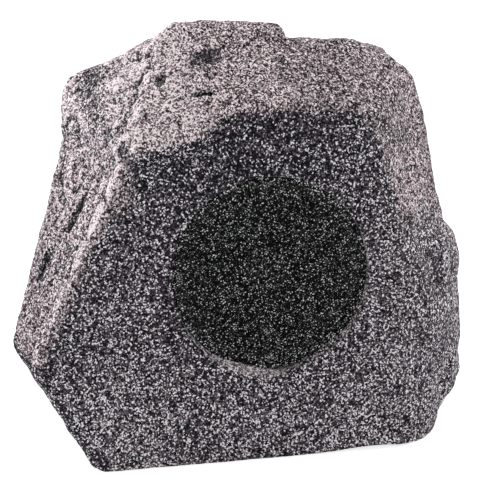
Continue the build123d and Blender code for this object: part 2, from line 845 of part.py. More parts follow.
with BuildPart() as gland_seal:
    with BuildSketch(gland_wall.offset(barrel_front)):
        Circle(barrel_radius)
        Circle(gland_bore / 2, mode=Mode.SUBTRACT)
    extrude(amount=seal_front - barrel_front)
with BuildPart() as gland_nut:
    with BuildSketch(gland_wall.offset(-wall)):
        RegularPolygon(gland_nut_width / 2, 6, major_radius=False)
        Circle(barrel_radius + hole_clearance, mode=Mode.SUBTRACT)
    extrude(amount=-gland_nut_thickness)

pieces = {
    "rock_shell": rock_shell.part,
    "grille": grille.part,
    "driver_seal": driver_seal.part,
    "driver_screws": driver_screws.part,
    "basket": basket.part,
    "surround": surround.part,
    "cone": cone.part,
    "former": former.part,
    "voice_coil": voice_coil.part,
    "spider": spider.part,
    "top_plate": top_plate.part,
    "magnet": magnet.part,
    "yoke": yoke.part,
    "tweeter_post": tweeter_post.part,
    "tweeter_body": tweeter_body.part,
    "tweeter_dome": tweeter_dome.part,
    "terminal_strip": terminal_strip.part,
    "solder_tags": solder_tags.part,
    "base_plate": base_plate.part,
    "base_gasket": base_gasket.part,
    "base_screws": base_screws.part,
    "feet": feet.part,
    "crossover_board": crossover_board.part,
    "board_screws": board_screws.part,
    "choke_bobbin": choke_bobbin.part,
    "choke_winding": choke_winding.part,
    "resistor": resistor.part,
    "terminal_block": terminal_block.part,
    "gland_washer": gland_washer.part,
    "gland_body": gland_body.part,
    "gland_cap": gland_cap.part,
    "gland_seal": gland_seal.part,
    "gland_nut": gland_nut.part,
}
for duty, place in capacitor_places.items():
    pieces[f"{duty}_capacitor"] = capacitor(place)

os.makedirs("parts", exist_ok=True)
for name, piece in pieces.items():
    piece.label = name
    export_step(piece, f"parts/{name}.step")
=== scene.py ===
import math

import bmesh
import bpy
import numpy as np
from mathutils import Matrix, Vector, noise
from mathutils.bvhtree import BVHTree


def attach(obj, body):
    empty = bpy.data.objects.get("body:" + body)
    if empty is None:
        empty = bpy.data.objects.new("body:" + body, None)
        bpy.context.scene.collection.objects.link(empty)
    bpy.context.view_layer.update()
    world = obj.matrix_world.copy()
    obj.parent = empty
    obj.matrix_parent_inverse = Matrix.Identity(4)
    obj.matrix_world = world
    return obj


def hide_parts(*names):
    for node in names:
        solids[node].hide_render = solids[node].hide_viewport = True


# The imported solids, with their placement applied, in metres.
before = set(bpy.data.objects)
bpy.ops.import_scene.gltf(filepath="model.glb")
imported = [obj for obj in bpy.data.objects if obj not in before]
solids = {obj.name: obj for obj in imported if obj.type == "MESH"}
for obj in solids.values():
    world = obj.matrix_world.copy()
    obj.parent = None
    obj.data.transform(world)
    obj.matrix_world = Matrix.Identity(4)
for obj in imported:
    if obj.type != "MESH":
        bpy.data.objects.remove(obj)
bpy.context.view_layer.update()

# Rock: one hollow moulding of filled resin with the recess and seat for the loudspeaker and the flange for
# the base. Its mould was taken from broken stone: uneven faces, crisp ridges round the front, dents on the
# hump and long gouges down the left side. The solid gives the form, and this skin the broken surface.
MM = 0.001
face_lean = math.radians(9)
face_point = Vector((15.0, -143.806, 159.5)) * MM
face_out = Vector((0, -math.cos(face_lean), math.sin(face_lean)))
driver_lean = math.radians(5)
seat_point = Vector((15.0, -123.973, 157.765)) * MM
driver_out = Vector((0, -math.cos(driver_lean), math.sin(driver_lean)))
driver_up = Vector((0, math.sin(driver_lean), math.cos(driver_lean)))
recess_radius = 84.85 * MM
recess_cover = recess_radius + 1.2 * MM
gland_middle = Vector((15.0, 148.5, 40.0)) * MM
gland_opening = 9 * MM
gland_cover = 11 * MM
rock_core = Vector((0, 20, 165)) * MM
rim_level = 1.0 * MM
rim_steps = 360
skirt_level = -30 * MM


def driver_place(spot):
    """Radius, angle and height above the seat of a point, about the loudspeaker's axis."""
    way = spot - seat_point
    up = way.dot(driver_up)
    return math.hypot(way.x, up), math.atan2(up, way.x), way.dot(driver_out)


def driver_spot(radius, angle, height):
    """The point at a radius, angle and height above the seat."""
    across = Vector((radius * math.cos(angle), 0, 0)) + driver_up * (radius * math.sin(angle))
    return seat_point + across + driver_out * height


def ease(start, end, value):
    """0 up to the start, 1 past the end and a soft step between; the end may be the lower one."""
    part = min(max((value - start) / (end - start), 0), 1)
    return part * part * (3 - 2 * part)


def hill(value, middle, width):
    """1 at the middle, falling away smoothly on both sides."""
    return math.exp(-(((value - middle) / width) ** 2))


# The solid's skin, closed below the rim by a skirt, so that every ray from outside meets it.
shell = solids["rock_shell"].data
shell_points = [v.co.copy() for v in shell.vertices]
shell_faces = [tuple(f.vertices) for f in shell.polygons]
shell_tree = BVHTree.FromPolygons(shell_points, shell_faces)
just_above_rim = Vector((0, 0, rim_level + 0.5 * MM))
outline = []
for step in range(rim_steps):
    turn = math.radians(step * 360 / rim_steps)
    way = Vector((math.cos(turn), math.sin(turn), 0))
    outline.append(shell_tree.ray_cast(just_above_rim + way, -way)[0])
first = len(shell_points)
closed_points = shell_points + outline
closed_points += [Vector((p.x, p.y, skirt_level)) for p in outline]
closed_points.append(Vector((0, 0, skirt_level)))
closed_faces = list(shell_faces)
for step in range(rim_steps):
    here = first + step
    there = first + (step + 1) % rim_steps
    closed_faces.append((here, there, there + rim_steps, here + rim_steps))
    closed_faces.append((here + rim_steps, there + rim_steps, first + 2 * rim_steps))
closed_tree = BVHTree.FromPolygons(closed_points, closed_faces)


def on_skin(way):
    """Where the skin lies in one direction from the core, with the recess and the gland's hole filled."""
    lean = way.dot(face_out)
    if lean > 0.2:
        spot = rock_core + way * ((face_point - rock_core).dot(face_out) / lean)
        if driver_place(spot)[0] < recess_cover:
            return spot
    if way.y > 0.2:
        spot = rock_core + way * ((gland_middle.y - rock_core.y) / way.y)
        if (spot - gland_middle).length < gland_cover:
            return spot
    return closed_tree.ray_cast(rock_core + way, -way)[0]


# Dents, gouges and the slot, in mm: middle, long way, the way the face looks, half length, half width, depth
# and how much painted shade lies there, darkening the hollow where shade falls. The slot, the dents on the
# hump and most gouges are cut in the solid too, and get a ragged edge here. The first eight have crisp edges
# and a finer mesh.
hump_out = Vector((-0.1, -0.64, 0.76))
bevel_out = Vector((-0.81, -0.36, 0.45))
ridge_run = Vector((-77.5, -16, -160)).normalized()
hollows = [
    ((-36.2, -102.3, 310.1), (1, 0.02, 0.16), hump_out, 12.0, 2.4, 1.0, 1.0),
    ((-29.0, -73.0, 333.2), (1, 0.2, 0.25), hump_out, 20.0, 10.0, 1.2, 0.75),
    ((-69.5, -85.5, 319.2), (0.5, 0.4, 0.7), hump_out, 9.0, 4.5, 1.2, 0.75),
    ((-123.0, -42.0, 313.0), (0.75, 0.45, 0.4), bevel_out, 25.0, 14.0, 1.6, 0.6),
    ((-113.2, -102.6, 280.1), (0.8, -0.5, 0.1), bevel_out, 15.0, 6.5, 2.0, 0.55),
    ((-146.5, -103.5, 210.2), ridge_run, bevel_out, 21.0, 4.5, 1.2, 0.85),
    ((-175.5, -95.9, 164.4), ridge_run, bevel_out, 18.0, 4.0, 1.2, 0.85),
    ((-107.5, -121.5, 272.0), ridge_run, bevel_out, 9.0, 4.0, 2.0, 0.75),
    ((-136.0, -112.0, 238.0), ridge_run, bevel_out, 12.0, 3.0, 2.2, 0.5),
    ((-170.0, -118.0, 150.0), ridge_run, bevel_out, 14.0, 2.6, 2.0, 0.5),
    ((-154.0, -64.0, 228.0), ridge_run, bevel_out, 16.0, 5.0, 2.0, 0.5),
]
hollows = [
    (Vector(middle), Vector(run).normalized(), out.cross(Vector(run)).normalized(), *sizes)
    for middle, run, out, *sizes in hollows
]
crisp_hollows = hollows[:8]

# The skin: an even ball of triangles drawn onto the solid, finer round the front and finest in the hollows.
skin = bmesh.new()
bmesh.ops.create_icosphere(skin, subdivisions=7, radius=1)
for v in skin.verts:
    v.co = on_skin(v.co.normalized())
    v.tag = True
skin.normal_update()
rough_side = Vector((-0.16, -0.92, 0.36))
finer_faces = [f for f in skin.faces if f.normal.dot(rough_side) > 0.05 and f.calc_center_median().z > 0]
for _ in range(2):
    finer_edges = list({e for f in finer_faces for e in f.edges})
    bmesh.ops.subdivide_edges(skin, edges=finer_edges, cuts=1, use_grid_fill=True)
    for v in skin.verts:
        if not v.tag:
            v.co = on_skin((v.co - rock_core).normalized())
            v.tag = True
    bmesh.ops.triangulate(skin, faces=skin.faces[:])
    finer_faces = []
    for f in skin.faces:
        spot = f.calc_center_median() / MM
        for middle, run, side, length, half, depth, painted_shade in crisp_hollows:
            way = spot - middle
            near_run = abs(way.dot(run)) < length + 3
            near_side = abs(way.dot(side)) < half + 3
            if way.length < length + 4 and near_run and near_side:
                finer_faces.append(f)
                break
bmesh.ops.bisect_plane(
    skin,
    geom=skin.verts[:] + skin.edges[:] + skin.faces[:],
    plane_co=(0, 0, rim_level),
    plane_no=(0, 0, 1),
    clear_inner=True,
)
skin.normal_update()
plain_tree = BVHTree.FromBMesh(skin)

# The flat facets of the solid: where the skin turns from one to the next, it gets a sharper ridge.
rock_edge_radius = 13.0
smallest_facet = 1500 * MM * MM
facet_area = {}
for f in shell.polygons:
    key = tuple(round(c, 2) for c in f.normal)
    facet_area[key] = facet_area.get(key, 0) + f.area
facets = np.array([key for key, area in facet_area.items() if area > smallest_facet])

# The two facets right of the front face: below the flank the stone runs round to them without a ridge.
body_middle = Vector((15, -3.5, 160))
right_facets = []
for outward, far in (((0.7515, -0.5872, 0.3007), 178), ((0.749, -0.6626, 0), 203)):
    right_facets.append((body_middle + Vector(outward) * far, Vector(outward)))

# Waves of the broken surface, in mm: height, how much of that the smoother front loses, length, and a shift.
waves = [
    (1.9, 1.0, 58, Vector((0, 0, 0))),
    (1.3, 0.6, 21, Vector((7, 3, 1))),
    (0.75, 0.35, 8, Vector((13, 5, 2))),
    (0.3, 0, 3.6, Vector((29, 11, 4))),
]
highest_relief = 5.0


def stone_relief(spot, out):
    """Height of the broken surface over the plain facet at a point in mm, and the painted shade in its
    hollows.
    """
    front = ease(0.9, 0.975, out.dot(face_out))
    bevel = ease(0.6, 0.9, out.dot(bevel_out))
    hump = ease(250, 285, spot.z) * ease(60, 20, spot.x)
    lift = 0
    for height, calmer, length, shift in waves:
        lift += (height - calmer * front) * noise.noise(spot / length + shift)
    flank = ease(0.35, 0.75, abs(out.x))
    lift += 2.4 * flank * noise.noise(spot / 23 + Vector((17, 43, 5)))
    # Grooves down the left side, drawn out along the ridge, and pits on the hump.
    drawn = spot - ridge_run * (spot.dot(ridge_run) * 0.75)
    groove = 1 - abs(noise.noise(drawn / 11 + Vector((3, 17, 9)))) * 4
    lift -= bevel * 2.2 * max(groove, 0)
    pits = ease(0.22, 0.5, noise.noise(spot / 13 + Vector((41, 2, 23))))
    lift -= hump * 1.3 * pits
    # Painted shade: the grooves and pits are darkened in colour, where shade falls in them.
    dirt = 0.65 * bevel * ease(0.35, 0.9, groove) + 0.3 * hump * pits
    # Dents, gouges and the slot get painted shade too, darkest in their middles.
    for middle, run, side, length, half, depth, painted_shade in hollows:
        way = spot - middle
        if way.length < 1.5 * length:
            along = way.dot(run)
            across = way.dot(side)
            ragged = 0.4 * noise.noise(spot / 6 + Vector((1, 8, 31)))
            ragged += 0.35 * noise.noise(spot / 2.6 + Vector((9, 2, 14)))
            inside = max(1 - (along / length) ** 2 - (across / half) ** 2 + min(half / 8, 1) * ragged, 0)
            lift -= depth * min(inside * 1.6, 1)
            dirt = max(dirt, painted_shade * min(inside * 1.8, 1))
    # Ridges: sharp round the front, softer behind it, and none at the lower right.
    behind = (face_point / MM - spot).dot(face_out)
    lean = math.acos(min(float((facets @ np.array(out)).max()), 1))
    sharp = rock_edge_radius * (1 / math.cos(min(lean, math.radians(40))) - 1)
    right_soft = ease(60, 90, spot.x) * ease(235, 190, spot.z)
    lift += sharp * (0.2 + 0.6 * ease(30, 12, behind)) * (1 - right_soft)
    aside = min((place - spot).dot(outward) for place, outward in right_facets)
    lift -= right_soft * 3.2 * max(1 - max(aside, behind, 0) / 15, 0) ** 2
    quiet = ease(14, 30, (spot - gland_middle / MM).length)
    return min(max(lift, -highest_relief), highest_relief) * quiet, dirt


# The relief is laid on, and the front's lower edge gets the low arch that it has at the right.
arch_front = -110 * MM
arch_middle = 102 * MM
arch_width = 30 * MM
arch_fade = 12 * MM
arch_rise = 3.4 * MM
hollow_shade_layer = skin.verts.layers.float.new("dirt")
dust_and_light_layer = skin.verts.layers.float.new("dust")
wear_and_light_layer = skin.verts.layers.float.new("worn")
lifts = []
plain_out = []
for v in skin.verts:
    plain_out.append(v.normal.copy())
    lift, v[hollow_shade_layer] = stone_relief(v.co / MM, v.normal)
    lifts.append(lift * MM)
for v, lift in zip(skin.verts, lifts):
    on_rim = v.co.z < rim_level + 0.01 * MM
    v.co += v.normal * lift
    if on_rim:
        v.co.z = rim_level
    if v.co.y < arch_front:
        v.co.z += arch_rise * (hill(v.co.x, arch_middle, arch_width) * hill(v.co.z, 0, arch_fade))
skin.normal_update()

# Pale dust lies where the stone looks up, and the paler coat there is partly real dust and partly painted
# light from above; it is thinner on the brow, as painted shade. The edge beside the front's left ridge is
# made nearly white, partly as wear and partly as a painted highlight. The front leans back little and stays
# dark, with more white grains right and below as painted light, and a painted shadow lies under the shoulder
# on the left. At the sides and the back, which see the weather evenly, the paler coat has no clear edge.
# Places are in mm.
front_side = Vector((-0.179, -0.922, 0.342))
for v, out in zip(skin.verts, plain_out):
    spot = v.co / MM
    patch = noise.noise(spot / 15 + Vector((5, 19, 37)))
    up = 0.75 * out.z + 0.25 * v.normal.z
    front = ease(0.9, 0.975, v.normal.dot(face_out))
    # Painted light on the front: more white grains lower down, to the right and at the far left, and fewer
    # near the top, as painted shade under the brow.
    painted_front_light = 0.06 + 0.07 * ease(230, 170, spot.z) + 0.2 * ease(130, 30, spot.z)
    painted_front_light += 0.18 * ease(20, 130, spot.x) + 0.12 * ease(-55, -95, spot.x)
    behind = (face_point / MM - spot).dot(face_out)
    ridge = ease(-80, -95, spot.x) * ease(1.5, 3.5, behind) * ease(13, 8, behind) * ease(278, 268, spot.z)
    hump_left = ease(255, 280, spot.z) * ease(-20, -60, spot.x)
    bevel = ease(0.6, 0.9, v.normal.dot(bevel_out))
    brow = ease(25, 45, spot.x) * ease(235, 270, spot.z)
    flank = ease(120, 140, spot.x) * ease(185, 215, spot.z)
    shoulder = 0.75 * ease(-95, -112, spot.x) * ease(215, 232, spot.z)
    # Painted shadow: the coat is darkened under the shoulder lump and lower on the left, where shade falls.
    shadow = ease(-106, -120, spot.x) * ease(-140, -124, spot.x) * ease(272, 285, spot.z)
    shadow = max(shadow, 0.6 * ease(-125, -150, spot.x) * ease(225, 195, spot.z))
    bulge = ease(95, 125, spot.x) * ease(206, 186, spot.z + 8 * patch)
    # The paler coat follows how far the stone looks up, partly real dust and partly painted light; less of
    # it on the brow is painted shade.
    dust_and_light_amount = max(ease(0.19, 0.31, up + 0.05 * patch) * (1 - 0.45 * brow) * (1 - 0.2 * flank), shoulder)
    dust_and_light_amount = dust_and_light_amount * (1 - bulge) + 0.15 * bulge + 0.3 * front * painted_front_light * (1 - bulge)
    rear = max(ease(0.3, 0.05, out.dot(front_side)), ease(-110, -55, spot.y) * ease(330, 300, spot.z))
    rear_dust_and_light = 0.2 + 0.65 * ease(-0.2, 0.55, up + 0.2 * noise.noise(spot / 34 + Vector((2, 61, 7))))
    dust_and_light_amount += (rear_dust_and_light - dust_and_light_amount) * rear
    v[dust_and_light_layer] = dust_and_light_amount * max(1 - 1.1 * v[hollow_shade_layer], 0) * (1 - 0.4 * shadow)
    # Whiter along the left ridge, on the left bevel and on the hump's left part: partly wear, partly painted
    # highlight and painted light from the left. The front's painted light and the bulge's patches add to it.
    wear_and_light = (0.25 + 0.75 * ease(110, 200, spot.z)) * (ridge + 0.5 * bevel) + 0.55 * hump_left
    wear_and_light *= 1 - max(v[hollow_shade_layer], 0.7 * shadow * (1 - ridge))
    v[wear_and_light_layer] = wear_and_light + (front * painted_front_light * (1 - bulge) + (0.3 + 0.45 * patch) * bulge) * (1 - rear)

# The recess: the face stops at the sill's upper edge, and the sill slopes down to the grille's edge. Turns
# go round the loudspeaker in degrees, and the sill's edge is lowest at the notch, nearly straight below.
grille_rise = 14.0 * MM
notch_turn = -83


def sill_lip(angle):
    """How far the sill's edge runs in over the grille: most beside the notch, and back from it there."""
    turn = math.degrees(angle)
    beside = hill(turn, -109, 12) + hill(turn, -55, 14)
    return (2.4 * beside - 4.5 * hill(turn, notch_turn, 7)) * MM


def sill_width(angle):
    """Width of the slope between the front face and the grille, widest below and to the left."""
    turn = math.degrees(angle)
    low = ease(-168, -95, turn) ** 1.3 * ease(-77, -88, turn)
    right = ease(-75, -55, turn) * ease(95, 40, turn)
    return (0.5 + 6.0 * low + 0.5 * right) * MM


gone = []
for f in skin.faces:
    if f.normal.y < 0:
        for v in f.verts:
            radius, angle, height = driver_place(v.co)
            if height > 0 and radius < recess_radius + sill_width(angle):
                gone.append(f)
                break
    elif (f.calc_center_median() - gland_middle).length < gland_opening:
        gone.append(f)
bmesh.ops.delete(skin, geom=gone, context="FACES")
ring = [e for e in skin.edges if e.is_boundary and e.verts[0].co.y < 0]
ring = [e for e in ring if driver_place(e.verts[0].co)[0] < 100 * MM]
ring = [e for e in ring if min(v.co.z for v in e.verts) > 30 * MM]
for v in {v for e in ring for v in e.verts}:
    radius, angle, height = driver_place(v.co)
    v.co = driver_spot(recess_radius + sill_width(angle), angle, height)

# Three rings go down from there: halfway on the slope, its lower edge above the grille, and the wall beside
# the grille's cup. Each has its share of the width, its level over the grille, and its lip and painted
# shade.
sill_rings = [(0.45, None, 0, 0), (0.0, 0.5 * MM, 1, 0), (0.0, -13.0 * MM, 0, 1)]
for share, level, lip, painted_shade in sill_rings:
    grown = bmesh.ops.extrude_edge_only(skin, edges=ring)["geom"]
    ring = [e for e in grown if isinstance(e, bmesh.types.BMEdge)]
    for v in {v for e in ring for v in e.verts}:
        radius, angle, height = driver_place(v.co)
        width = sill_width(angle)
        if level is None:
            height += (grille_rise - height) * 0.5 + 0.5 * MM * noise.noise(v.co / (5 * MM))
        else:
            height = grille_rise + level
        v.co = driver_spot(recess_radius + width * share - lip * sill_lip(angle), angle, height)
        # The sill's colour: paler and whiter the wider it is, as painted light where its slope catches light
        # from above; the deep wall is made darker at the notch, as painted shade.
        v[dust_and_light_layer] = 0.2 + 0.3 * ease(1.0 * MM, 4.0 * MM, width)
        v[wear_and_light_layer] = 0.2 + 0.7 * min(width / (5 * MM), 1)
        v[hollow_shade_layer] = painted_shade * hill(math.degrees(angle), notch_turn, 9)

# The rim: the wall's flat underside, and its inner side up to the base plate.
rim_width = 6 * MM
rim_depth = 8 * MM
rim = [e for e in skin.edges if e.is_boundary and max(v.co.z for v in e.verts) < 6 * MM]
for inward, rise in ((rim_width, 0), (0, rim_depth)):
    grown = bmesh.ops.extrude_edge_only(skin, edges=rim)["geom"]
    rim = [e for e in grown if isinstance(e, bmesh.types.BMEdge)]
    for v in {v for e in rim for v in e.verts}:
        middle = Vector((0, 0, v.co.z))
        v.co -= (v.co - middle).normalized() * inward
        v.co.z += rise
skin.normal_update()

# The inside of the moulding comes from the solid: hollow, seat, flange and bosses.
inner = bmesh.new()
inner.from_mesh(shell)
outer_faces = []
for f in inner.faces:
    middle = f.calc_center_median()
    radius, angle, height = driver_place(middle)
    on_wall = abs(radius - recess_radius) < 1 * MM and height > 0.5 * MM
    on_outside = plain_tree.find_nearest(middle)[3] < 1.2 * MM
    if on_outside or on_wall or middle.z < rim_level + 0.3 * MM:
        outer_faces.append(f)
bmesh.ops.delete(inner, geom=outer_faces, context="FACES")
inner_mesh = bpy.data.meshes.new("inside")
inner.to_mesh(inner_mesh)
skin.from_mesh(inner_mesh)

bmesh.ops.recalc_face_normals(skin, faces=skin.faces[:])
rock_mesh = bpy.data.meshes.new("rock")
skin.to_mesh(rock_mesh)
rock_mesh.polygons.foreach_set("use_smooth", [True] * len(rock_mesh.polygons))
rock = bpy.data.objects.new("rock", rock_mesh)
bpy.context.scene.collection.objects.link(rock)


def srgb(code):
    """Linear colour of an sRGB hex value."""
    parts = [int(code[place:place + 2], 16) / 255 for place in (1, 3, 5)]
    return [c / 12.92 if c <= 0.04045 else ((c + 0.055) / 1.055) ** 2.4 for c in parts] + [1]


def add_node(tree, kind, settings=None, links=None):
    """Adds a shader node with its settings, and joins its inputs to other nodes' outputs."""
    node = tree.nodes.new("ShaderNode" + kind)
    for key, value in (settings or {}).items():
        if key == "stops":
            ramp = node.color_ramp.elements
            while len(ramp) < len(value):
                ramp.new(0.5)
            for stop, (place, colour) in zip(ramp, value):
                stop.position = place
                stop.color = srgb(colour)
        elif isinstance(key, str) and hasattr(node, key):
            setattr(node, key, value)
        else:
            node.inputs[key].default_value = value
    for key, output in (links or {}).items():
        tree.links.new(output, node.inputs[key])
    return node


def new_finish(name, roughness, metallic=0.0, ior=1.5):
    """A material with its shader and the piece's own coordinates in metres."""
    material = bpy.data.materials.new(name)
    material.use_nodes = True
    tree = material.node_tree
    shader = tree.nodes["Principled BSDF"]
    shader.inputs["Roughness"].default_value = roughness
    shader.inputs["Metallic"].default_value = metallic
    if not metallic:
        shader.inputs["IOR"].default_value = ior
    return material, tree, shader, add_node(tree, "TexCoord").outputs["Object"]


# Sprayed granite coat on resin: grains of black, grey and white paint, 1 to 2 mm across with wavy edges.
# The eye sees white flecks on a nearly black ground, a paler, warmer mix where dust settled from above and
# where light from above is painted in, and more white where the stone is worn or a highlight is painted. The
# dry, porous spray has almost no gloss.
granite, tree, shader, place = new_finish("granite_spray_on_resin", 0.85)
shader.inputs["Specular IOR Level"].default_value = 0.1
grain_size = 1.25 * MM
wander = add_node(tree, "TexNoise", {"Scale": 1 / (2.0 * MM), "Detail": 1.0}, {"Vector": place})
bent = add_node(
    tree,
    "VectorMath",
    {"operation": "MULTIPLY_ADD", 1: (1.7 * MM,) * 3},
    {0: wander.outputs["Color"], 2: place},
)
grains = add_node(tree, "TexVoronoi", {"Scale": 1 / (1.7 * grain_size)}, {"Vector": bent.outputs[0]})
fine_grains = add_node(tree, "TexVoronoi", {"Scale": 1 / grain_size}, {"Vector": bent.outputs[0]})
coarse_tone = add_node(tree, "SeparateColor", links={0: grains.outputs["Color"]})
fine_tone = add_node(tree, "SeparateColor", links={0: fine_grains.outputs["Color"]})
grain_tone = add_node(
    tree, "Mix", {"data_type": "FLOAT", 0: 0.8}, {2: coarse_tone.outputs[0], 3: fine_tone.outputs[1]}
)
worn = add_node(tree, "Attribute", {"attribute_name": "worn"})
wear_and_light_tone = add_node(
    tree, "Math", {"operation": "MULTIPLY_ADD", 1: 0.22}, {0: worn.outputs["Fac"], 2: grain_tone.outputs[0]}
)
dark_tones = [(0.46, "#0f0e12"), (0.64, "#35313a"), (0.79, "#6c6673"), (0.86, "#fffaff")]
pale_tones = [(0.22, "#110d0e"), (0.43, "#5f5157"), (0.58, "#aa969c"), (0.69, "#efdee3"), (0.78, "#fff3f6")]
dark_mix = add_node(tree, "ValToRGB", {"stops": dark_tones}, {0: wear_and_light_tone.outputs[0]})
pale_mix = add_node(tree, "ValToRGB", {"stops": pale_tones}, {0: wear_and_light_tone.outputs[0]})
dust = add_node(tree, "Attribute", {"attribute_name": "dust"})
drift = add_node(tree, "TexNoise", {"Scale": 1 / (9 * MM), "Detail": 3.0}, {"Vector": place})
drifted = add_node(tree, "Math", {"operation": "MULTIPLY_ADD", 1: 0.4, 2: -0.2}, {0: drift.outputs[0]})
dust_and_light_share = add_node(
    tree, "Math", {"operation": "ADD", "use_clamp": True}, {0: dust.outputs["Fac"], 1: drifted.outputs[0]}
)
coat = add_node(
    tree,
    "Mix",
    {"data_type": "RGBA"},
    {0: dust_and_light_share.outputs[0], 6: dark_mix.outputs[0], 7: pale_mix.outputs[0]},
)
# Painted shade in the hollows, mixed in as a near-black colour.
dirt = add_node(tree, "Attribute", {"attribute_name": "dirt"})
hollow_shade_share = add_node(tree, "MapRange", {"From Min": 0.5, "To Max": 0.85}, {"Value": dirt.outputs["Fac"]})
painted_shade = add_node(
    tree, "Mix", {"data_type": "RGBA", 7: srgb("#141214")}, {0: hollow_shade_share.outputs[0], 6: coat.outputs[2]}
)
tree.links.new(painted_shade.outputs[2], shader.inputs["Base Color"])
relief = add_node(tree, "Bump", {"Strength": 0.7, "Distance": 0.5 * MM}, {"Height": grain_tone.outputs[0]})
tree.links.new(relief.outputs[0], shader.inputs["Normal"])
rock.data.materials.append(granite)
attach(rock, "housing")
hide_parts("rock_shell")

# Grille: a pressed cup of perforated steel, pushed into the recess with its front just below the rock's
# face. The sheet has 1.6 mm holes on 2.4 mm centres, punched right up to a narrow plain border. Here they
# are six-sided, 1.84 mm across the corners, with about the area of the round ones. Sizes are in mm.
grille_radius = 84.5
hole_pitch = 2.38
hole_radius = 0.92
sheet = 1.2
border_radius = 83.0
punched_radius = 81.0
row_turn = math.radians(41)
corners = {}
grille_points = []
grille_faces = []


def lattice_corner(x, y):
    """Index of a shared corner between hole cells, drawn in to the border's circle."""
    far = math.hypot(x, y)
    if far > border_radius:
        x = x * border_radius / far
        y = y * border_radius / far
    key = (round(x, 2), round(y, 2))
    if key not in corners:
        corners[key] = len(grille_points)
        grille_points.append((x, y, 0))
    return corners[key]


reach = 2 * (int(grille_radius / hole_pitch) + 3)
next_row_turn = row_turn + math.pi / 3
cell_radius = hole_pitch / math.sqrt(3)
cell_angles = [row_turn + math.radians(30 + 60 * k) for k in range(6)]
for i in range(-reach, reach + 1):
    for j in range(-reach, reach + 1):
        cx = hole_pitch * (i * math.cos(row_turn) + j * math.cos(next_row_turn))
        cy = hole_pitch * (i * math.sin(row_turn) + j * math.sin(next_row_turn))
        far = math.hypot(cx, cy)
        if far > border_radius + hole_pitch:
            continue
        around = [(cx + cell_radius * math.cos(a), cy + cell_radius * math.sin(a)) for a in cell_angles]
        if all(math.hypot(x, y) > border_radius for x, y in around):
            continue
        cell = [lattice_corner(x, y) for x, y in around]
        if far > punched_radius:
            if len(set(cell)) == 6:
                grille_faces.append(cell)
            continue
        lip = len(grille_points)
        for depth in (0, -sheet):
            for a in cell_angles:
                grille_points.append((cx + hole_radius * math.cos(a), cy + hole_radius * math.sin(a), depth))
        for k in range(6):
            n = (k + 1) % 6
            grille_faces.append((cell[k], cell[n], lip + n, lip + k))
            grille_faces.append((lip + k, lip + n, lip + 6 + n, lip + 6 + k))
grille_mesh = bpy.data.meshes.new("grille_sheet")
grille_mesh.from_pydata(grille_points, [], grille_faces)

# The cup's rounded edge and its wall: rings with a radius and a level below the sheet's face.
cup_rings = [(84.0, -0.15), (84.35, -0.4), (grille_radius, -0.9), (grille_radius, -13.6)]
cup = bmesh.new()
cup.from_mesh(grille_mesh)
edge = [e for e in cup.edges if e.is_boundary]
edge = [e for e in edge if all(math.hypot(*v.co.xy) > border_radius - 0.05 for v in e.verts)]
for radius, level in cup_rings:
    grown = bmesh.ops.extrude_edge_only(cup, edges=edge)["geom"]
    edge = [e for e in grown if isinstance(e, bmesh.types.BMEdge)]
    for v in {v for e in edge for v in e.verts}:
        far = math.hypot(*v.co.xy)
        v.co = Vector((v.co.x * radius / far, v.co.y * radius / far, level))
for v in cup.verts:
    across = Vector((v.co.x, 0, 0)) * MM + driver_up * (v.co.y * MM)
    v.co = seat_point + across + driver_out * (grille_rise + v.co.z * MM)
bmesh.ops.recalc_face_normals(cup, faces=cup.faces[:])
cup.to_mesh(grille_mesh)
grille = bpy.data.objects.new("perforated_grille", grille_mesh)
bpy.context.scene.collection.objects.link(grille)

# Black paint on steel with the rock's pale flecks sprayed over it: the eye sees a dark disc with fewer and
# smaller flecks than the stone, cut by the fine rows of holes.
speckled, tree, shader, place = new_finish("black_paint_with_sprayed_flecks", 0.6)
shader.inputs["Specular IOR Level"].default_value = 0.03
wander = add_node(tree, "TexNoise", {"Scale": 1 / (3 * MM), "Detail": 1.0}, {"Vector": place})
bent = add_node(
    tree,
    "VectorMath",
    {"operation": "MULTIPLY_ADD", 1: (2.2 * MM,) * 3},
    {0: wander.outputs["Color"], 2: place},
)
flecks = add_node(tree, "TexVoronoi", {"Scale": 1 / (0.8 * MM)}, {"Vector": bent.outputs[0]})
fleck_tone = add_node(tree, "SeparateColor", links={0: flecks.outputs["Color"]})
fleck_tones = [(0.52, "#0a0a0b"), (0.76, "#222223"), (0.88, "#767677"), (0.945, "#ffffff")]
fleck_mix = add_node(tree, "ValToRGB", {"stops": fleck_tones}, {0: fleck_tone.outputs[0]})
tree.links.new(fleck_mix.outputs[0], shader.inputs["Base Color"])
relief = add_node(tree, "Bump", {"Strength": 0.4, "Distance": 0.2 * MM}, {"Height": fleck_tone.outputs[0]})
tree.links.new(relief.outputs[0], shader.inputs["Normal"])
grille.data.materials.append(speckled)
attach(grille, "housing")
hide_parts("grille")

# Foam ring under the loudspeaker's flange and gasket under the base plate: die-cut from sheet, glued on.
# Closed-cell foam: a dull black skin with cells under a millimetre, drawn at one millimetre to show.
foam, tree, shader, place = new_finish("closed_cell_foam", 0.95)
cells = add_node(tree, "TexVoronoi", {"Scale": 1 / (1.0 * MM)}, {"Vector": place})
foam_tones = [(0.0, "#1b1b1c"), (0.7, "#2a2a2b")]
foam_mix = add_node(tree, "ValToRGB", {"stops": foam_tones}, {0: cells.outputs["Distance"]})
tree.links.new(foam_mix.outputs[0], shader.inputs["Base Color"])
relief = add_node(
    tree, "Bump", {"Strength": 0.6, "Distance": 0.3 * MM}, {"Height": cells.outputs["Distance"]}
)
tree.links.new(relief.outputs[0], shader.inputs["Normal"])


